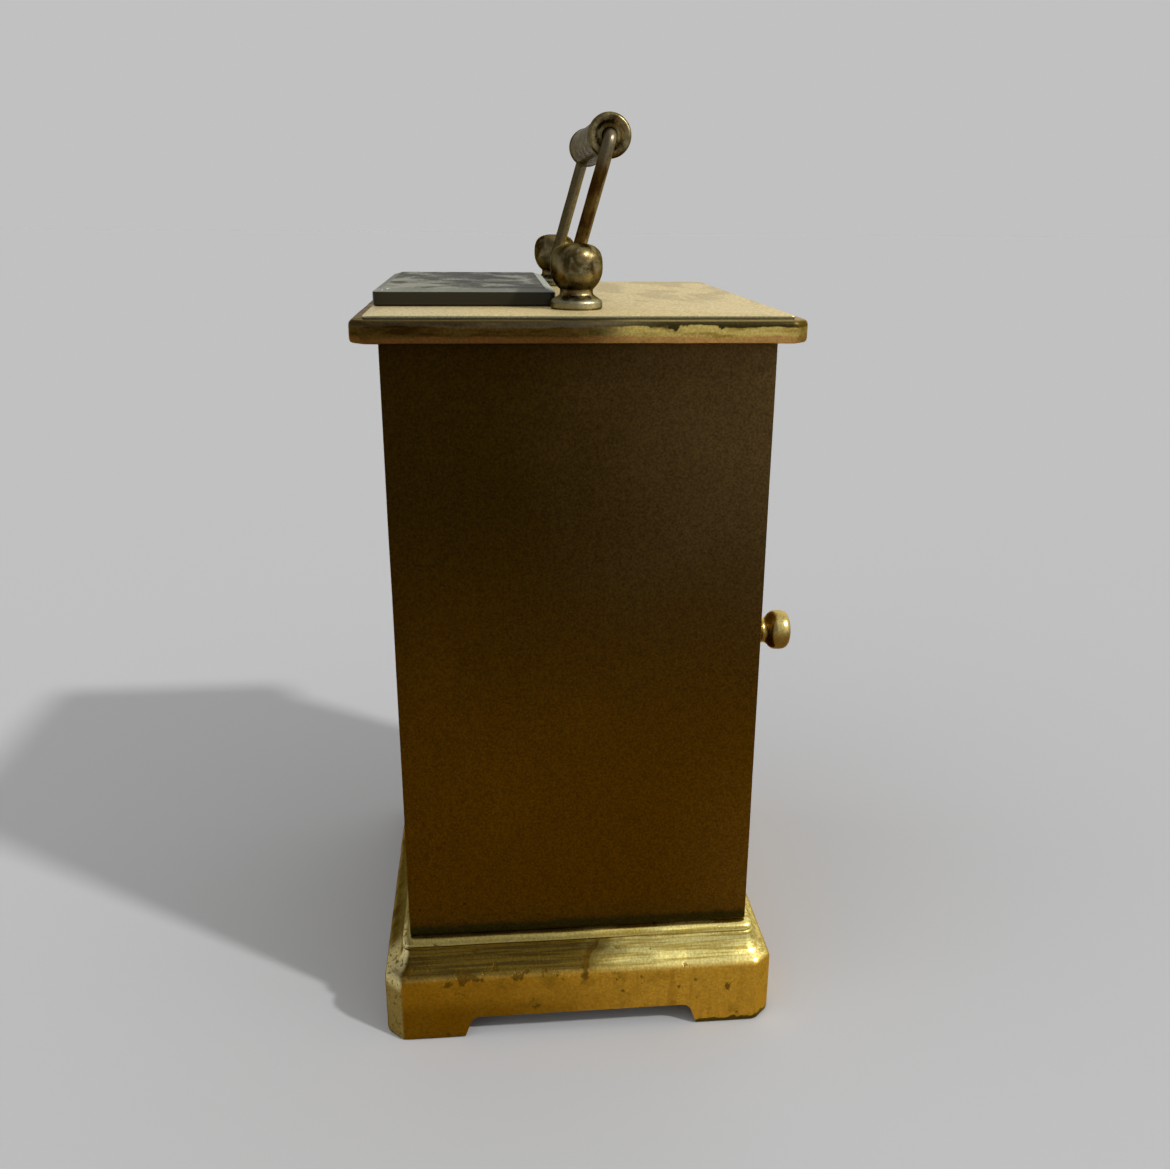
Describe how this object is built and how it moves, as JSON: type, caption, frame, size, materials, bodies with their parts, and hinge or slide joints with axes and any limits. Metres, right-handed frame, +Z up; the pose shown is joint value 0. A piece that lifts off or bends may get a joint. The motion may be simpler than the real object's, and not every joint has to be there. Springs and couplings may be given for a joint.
{
  "type": "mantel clock",
  "caption": "Small brass carriage clock with a folding carrying handle, bevelled top glass, white dial behind front glass, hinged rear door and spring-driven lever movement.",
  "frame": {"origin": "on the surface that the feet stand on, under the middle of the case", "axes": "+Z up, the dial faces -Y, the rear door faces +Y, +X is to the right when the dial is read"},
  "size_m": [0.0796, 0.0658, 0.144],
  "materials": {
    "base_brass": "polished, lightly tarnished",
    "cornice_brass": "polished, brown in places, coppery lower edge",
    "cover_brass": "satin under dust",
    "panel_brass": "satin, darkened to bronze brown",
    "pillar_brass": "satin",
    "handle_brass": "polished, aged grey brown",
    "knob_brass": "polished",
    "top_glass": "bevelled, dusty",
    "front_glass": "bevelled, clear",
    "dial_mask": "gilt, fine matt",
    "dial_enamel": "white enamel",
    "blued_steel": "blued",
    "steel": "polished",
    "movement_brass": "grained"
  },
  "bodies": {
    "case": {"base": "base_brass", "floor_plate": "movement_brass", "side_panel_left": "panel_brass", "pillar_front_left": "pillar_brass", "base_screw_front_left": "steel", "pillar_rear_left": "pillar_brass", "base_screw_rear_left": "steel", "side_panel_right": "panel_brass", "pillar_front_right": "pillar_brass", "base_screw_front_right": "steel", "pillar_rear_right": "pillar_brass", "base_screw_rear_right": "steel", "cornice": "cornice_brass", "cover_plate": "cover_brass", "top_glass": "top_glass", "front_frame": "base_brass", "front_glass": "front_glass", "dial_mask": "dial_mask", "dial": "dial_enamel", "handle_post_left": "handle_brass", "post_nut_left": "movement_brass", "handle_post_right": "handle_brass", "post_nut_right": "movement_brass", "movement_front_plate": "movement_brass", "movement_back_plate": "movement_brass", "movement_pillar_lower_left": "movement_brass", "movement_pillar_upper_left": "movement_brass", "movement_pillar_lower_right": "movement_brass", "movement_pillar_upper_right": "movement_brass", "platform": "movement_brass", "escape_bridge": "movement_brass", "balance_cock": "movement_brass", "click_screw": "blued_steel", "click_spring": "blued_steel"},
    "handle": {"handle_bail": "handle_brass"},
    "grip": {"handle_grip": "handle_brass"},
    "rear_door": {"rear_door": "panel_brass", "door_knob": "knob_brass", "hinge_pin_bottom": "steel", "hinge_pin_top": "steel"},
    "centre_arbor": {"centre_wheel": "movement_brass", "cannon_pinion": "steel", "minute_hand": "blued_steel"},
    "barrel": {"barrel": "movement_brass", "barrel_cover": "movement_brass", "mainspring": "blued_steel"},
    "third_arbor": {"third_wheel": "movement_brass"},
    "contrate_arbor": {"contrate_wheel": "movement_brass"},
    "escape_arbor": {"escape_wheel": "steel"},
    "minute_wheel": {"minute_wheel": "movement_brass"},
    "hour_pipe": {"hour_wheel": "movement_brass", "hour_hand": "blued_steel"},
    "setting_arbor": {"setting_arbor": "steel"},
    "winding_arbor": {"winding_arbor": "steel", "ratchet_wheel": "steel"},
    "click": {"click": "steel"},
    "lever": {"pallet_lever": "steel"},
    "balance": {"balance_wheel": "movement_brass", "hairspring": "blued_steel"}
  },
  "joints": [
    {"name": "handle_fold", "type": "hinge", "parent": "case", "child": "handle", "pos_m": [0, 0, 0.1226], "axis": [-1, 0, 0], "range_deg": [-105, 80]},
    {"name": "grip_spin", "type": "hinge", "parent": "handle", "child": "grip", "pos_m": [0, 0.0054, 0.14082], "axis": [-1, 0, 0], "continuous": true},
    {"name": "door_swing", "type": "hinge", "parent": "case", "child": "rear_door", "pos_m": [-0.03285, 0.027, 0], "axis": [0, 0, 1], "range_deg": [0, 100]},
    {"name": "centre_turn", "type": "hinge", "parent": "case", "child": "centre_arbor", "pos_m": [0, 0, 0.067], "axis": [0, 1, 0], "continuous": true},
    {"name": "barrel_turn", "type": "hinge", "parent": "case", "child": "barrel", "pos_m": [0, 0, 0.0446], "axis": [0, 1, 0], "continuous": true},
    {"name": "third_turn", "type": "hinge", "parent": "case", "child": "third_arbor", "pos_m": [0.00891, 0, 0.07762], "axis": [0, 1, 0], "continuous": true},
    {"name": "contrate_turn", "type": "hinge", "parent": "case", "child": "contrate_arbor", "pos_m": [-0.00044, 0, 0.08302], "axis": [0, 1, 0], "continuous": true},
    {"name": "escape_turn", "type": "hinge", "parent": "case", "child": "escape_arbor", "pos_m": [-0.00044, -0.01, 0], "axis": [0, 0, 1], "continuous": true},
    {"name": "minute_wheel_turn", "type": "hinge", "parent": "case", "child": "minute_wheel", "pos_m": [-0.00831, 0, 0.0622], "axis": [0, 1, 0], "continuous": true},
    {"name": "hour_hand_turn", "type": "hinge", "parent": "case", "child": "hour_pipe", "pos_m": [0, 0, 0.067], "axis": [0, 1, 0], "continuous": true},
    {"name": "setting_turn", "type": "hinge", "parent": "case", "child": "setting_arbor", "pos_m": [-0.01663, 0, 0.067], "axis": [0, 1, 0], "continuous": true},
    {"name": "winding_turn", "type": "hinge", "parent": "case", "child": "winding_arbor", "pos_m": [0, 0, 0.0446], "axis": [0, 1, 0], "range_deg": [0, 1800], "deforming": ["mainspring"]},
    {"name": "click_lift", "type": "hinge", "parent": "case", "child": "click", "pos_m": [0.00965, 0.0131, 0.0527], "axis": [0, 1, 0], "range_deg": [0, 10], "stiffness_Nm_per_rad": 0.0002, "springref_deg": -5.73},
    {"name": "lever_rock", "type": "hinge", "parent": "case", "child": "lever", "pos_m": [-0.00044, -0.0054, 0], "axis": [0, 0, 1], "range_deg": [-5, 5]},
    {"name": "balance_swing", "type": "hinge", "parent": "case", "child": "balance", "pos_m": [-0.00044, 0.0015, 0], "axis": [0, 0, 1], "range_deg": [-220, 220], "stiffness_Nm_per_rad": 0.000003, "deforming": ["hairspring"]}
  ],
  "couplings": [
    {"joint": "barrel_turn", "follows": "centre_turn", "ratio": -0.16667},
    {"joint": "third_turn", "follows": "centre_turn", "ratio": -10},
    {"joint": "contrate_turn", "follows": "centre_turn", "ratio": 80},
    {"joint": "escape_turn", "follows": "centre_turn", "ratio": -600},
    {"joint": "minute_wheel_turn", "follows": "centre_turn", "ratio": -0.33333},
    {"joint": "hour_hand_turn", "follows": "centre_turn", "ratio": 0.083333},
    {"joint": "setting_turn", "follows": "centre_turn", "ratio": 1}
  ]
}
